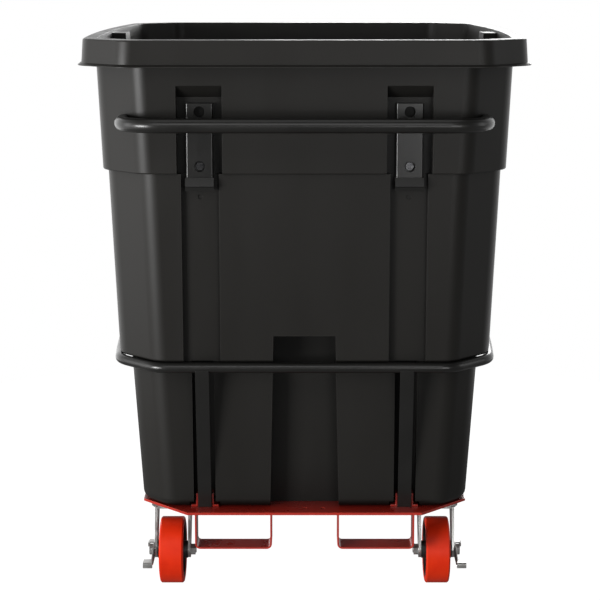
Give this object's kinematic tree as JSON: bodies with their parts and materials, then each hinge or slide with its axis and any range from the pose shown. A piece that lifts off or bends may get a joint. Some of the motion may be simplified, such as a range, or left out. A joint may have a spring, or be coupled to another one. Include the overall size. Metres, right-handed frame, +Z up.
{
  "type": "bulk container truck",
  "caption": "Wheeled bulk container: black moulded bin on a red steel base plate with fork pockets, support ring, push handles, swivel brake casters and rigid casters.",
  "frame": {"origin": "on the floor under the middle of the truck", "axes": "+Z up, +Y from the swivel-caster end to the rigid-caster end, +X to the right when looking along +Y"},
  "size_m": [0.854, 1.1934, 1.052],
  "materials": {
    "bin_plastic": "fine moulded grain",
    "black_paint": "semi-gloss powder coat",
    "red_paint": "gloss powder coat",
    "zinc": "bright zinc plate",
    "red_tread": "smooth polyurethane",
    "wheel_core": "moulded"
  },
  "bodies": {
    "truck": {"base_plate": "red_paint", "bin": "bin_plastic", "bin_bolts": "zinc", "bin_nuts": "zinc", "caster_bolts": "zinc", "caster_nuts": "zinc", "fork_loop_front_left": "red_paint", "fork_loop_front_right": "red_paint", "fork_loop_rear_left": "red_paint", "fork_loop_rear_right": "red_paint", "handle_bolts": "black_paint", "handle_bracket_front_left": "black_paint", "handle_bracket_front_right": "black_paint", "handle_bracket_rear_left": "black_paint", "handle_bracket_rear_right": "black_paint", "handle_nuts": "zinc", "kingpin_left": "zinc", "kingpin_right": "zinc", "push_handle_front": "black_paint", "push_handle_rear": "black_paint", "rear_axle_left": "zinc", "rear_axle_nut_left": "zinc", "rear_axle_nut_right": "zinc", "rear_axle_right": "zinc", "rigid_fork_left": "zinc", "rigid_fork_right": "zinc", "strap_clips": "red_paint", "support_ring": "black_paint", "swivel_plate_left": "zinc", "swivel_plate_right": "zinc", "upright_front_left": "black_paint", "upright_front_right": "black_paint", "upright_rear_left": "black_paint", "upright_rear_right": "black_paint", "upright_side_left": "black_paint", "upright_side_right": "black_paint"},
    "swivel_left": {"yoke_left": "zinc", "swivel_balls_left": "zinc", "front_axle_left": "zinc", "front_axle_nut_left": "zinc"},
    "brake_left": {"brake_lever_left": "zinc"},
    "front_wheel_left": {"front_tread_left": "red_tread", "front_core_left": "wheel_core", "front_bearing_left": "zinc"},
    "rear_wheel_left": {"rear_tread_left": "red_tread", "rear_core_left": "wheel_core", "rear_bearing_left": "zinc"},
    "swivel_right": {"yoke_right": "zinc", "swivel_balls_right": "zinc", "front_axle_right": "zinc", "front_axle_nut_right": "zinc"},
    "brake_right": {"brake_lever_right": "zinc"},
    "front_wheel_right": {"front_tread_right": "red_tread", "front_core_right": "wheel_core", "front_bearing_right": "zinc"},
    "rear_wheel_right": {"rear_tread_right": "red_tread", "rear_core_right": "wheel_core", "rear_bearing_right": "zinc"}
  },
  "joints": [
    {"name": "caster_swivel_left", "type": "hinge", "parent": "truck", "child": "swivel_left", "pos_m": [-0.255, -0.337, 0.15], "axis": [0, 0, 1], "continuous": true},
    {"name": "front_wheel_spin_left", "type": "hinge", "parent": "swivel_left", "child": "front_wheel_left", "pos_m": [-0.255, -0.372, 0.0635], "axis": [1, 0, 0], "continuous": true},
    {"name": "brake_lever_left", "type": "hinge", "parent": "swivel_left", "child": "brake_left", "pos_m": [-0.255, -0.372, 0.0635], "axis": [1, 0, 0], "range_deg": [0, 18]},
    {"name": "rear_wheel_spin_left", "type": "hinge", "parent": "truck", "child": "rear_wheel_left", "pos_m": [-0.255, 0.35, 0.0635], "axis": [1, 0, 0], "continuous": true},
    {"name": "caster_swivel_right", "type": "hinge", "parent": "truck", "child": "swivel_right", "pos_m": [0.255, -0.337, 0.15], "axis": [0, 0, 1], "continuous": true},
    {"name": "front_wheel_spin_right", "type": "hinge", "parent": "swivel_right", "child": "front_wheel_right", "pos_m": [0.255, -0.372, 0.0635], "axis": [1, 0, 0], "continuous": true},
    {"name": "brake_lever_right", "type": "hinge", "parent": "swivel_right", "child": "brake_right", "pos_m": [0.255, -0.372, 0.0635], "axis": [1, 0, 0], "range_deg": [0, 18]},
    {"name": "rear_wheel_spin_right", "type": "hinge", "parent": "truck", "child": "rear_wheel_right", "pos_m": [0.255, 0.35, 0.0635], "axis": [1, 0, 0], "continuous": true}
  ]
}
